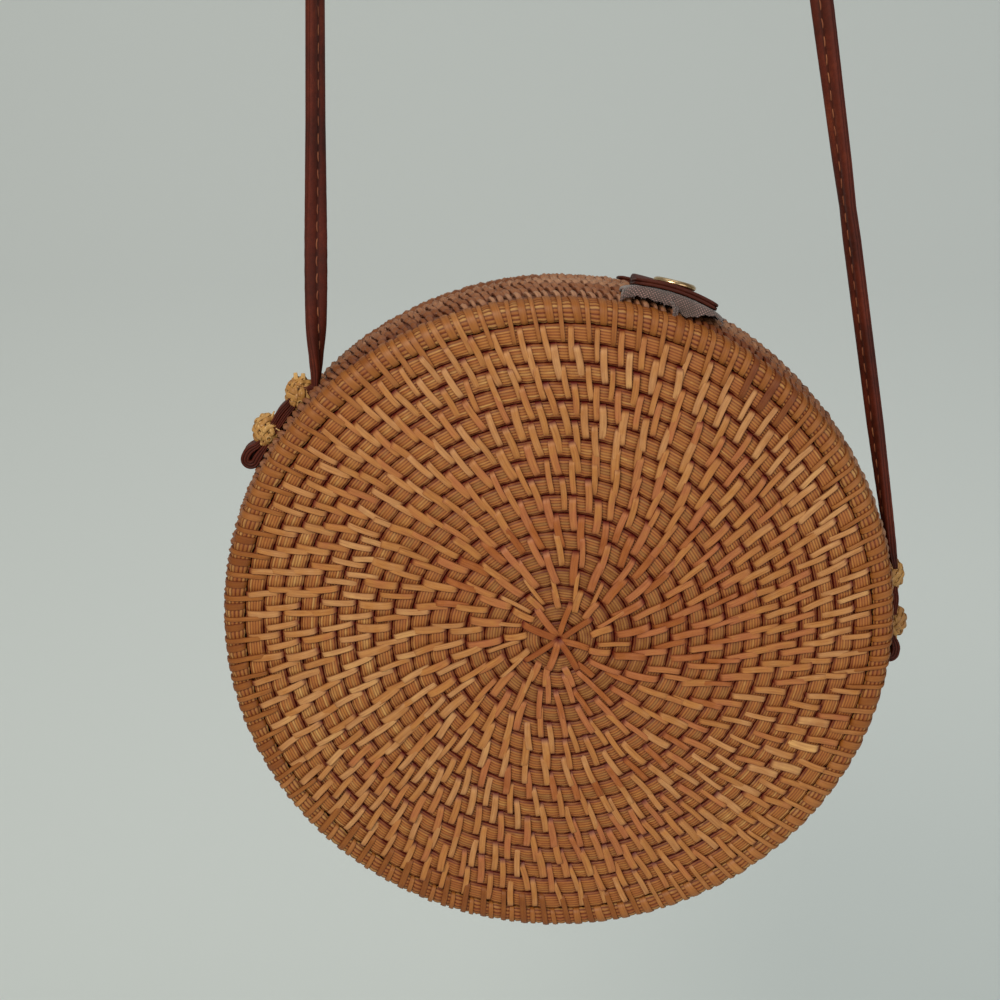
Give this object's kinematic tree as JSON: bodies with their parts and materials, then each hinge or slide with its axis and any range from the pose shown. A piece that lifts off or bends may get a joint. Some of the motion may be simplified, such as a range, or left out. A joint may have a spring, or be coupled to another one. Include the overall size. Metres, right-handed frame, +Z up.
{
  "type": "round rattan shoulder bag",
  "caption": "Round coiled-reed bag of two hinged halves with a snap flap, hanging by a leather strap that ball knots hold to its wall.",
  "frame": {"origin": "on the axis of the peg that the strap hangs from, in the middle of the strap's width", "axes": "+Z up, +Y along the peg's axis from the bag's front to its back, +X to the right of the front"},
  "size_m": [0.2109, 0.0718, 0.7213],
  "materials": {
    "reed": "satin",
    "reed_border": "satin",
    "reed_wall": "satin",
    "lining": "matte",
    "leather": "satin",
    "straw": "satin",
    "brass": "polished",
    "steel": "satin",
    "cloth": "matte",
    "thread": "matte"
  },
  "bodies": {
    "strap": {"strap_bend": "leather", "strap_left": "leather", "strap_right": "leather"},
    "bag": {"front_face": "reed", "front_border_row": "reed_border", "front_wall": "reed_wall", "front_mouth_row": "reed_wall", "front_lining": "lining", "snap_stud": "brass", "snap_backplate": "steel", "strap_end_left": "leather", "strap_end_right": "leather", "knot_left_upper": "straw", "knot_left_lower": "straw", "knot_right_upper": "straw", "knot_right_lower": "straw", "hinge_reed": "straw", "hinge_front_lashings": "straw"},
    "lid": {"rear_face": "reed", "rear_border_row": "reed_border", "rear_wall": "reed_wall", "rear_mouth_row": "reed_wall", "rear_lining": "lining", "hinge_rear_lashing": "straw", "flap_base": "leather", "flap_stitches": "thread"},
    "flap": {"clasp_flap": "leather", "cloth_tab": "cloth", "snap_socket": "steel", "snap_cap": "brass"}
  },
  "joints": [
    {"name": "strap_swing", "type": "hinge", "parent": "strap", "child": "bag", "pos_m": [0.04592, 0, -0.53868], "axis": [0.9537, 0, -0.3007], "range_deg": [-30, 30]},
    {"name": "lid_open", "type": "hinge", "parent": "bag", "child": "lid", "pos_m": [-0.00026, 0.013, -0.68514], "axis": [-0.9537, 0, 0.3007], "range_deg": [0, 110]},
    {"name": "flap_lift", "type": "hinge", "parent": "lid", "child": "flap", "pos_m": [0.06131, 0.0255, -0.48987], "axis": [-0.9537, 0, 0.3007], "range_deg": [0, 110]}
  ]
}
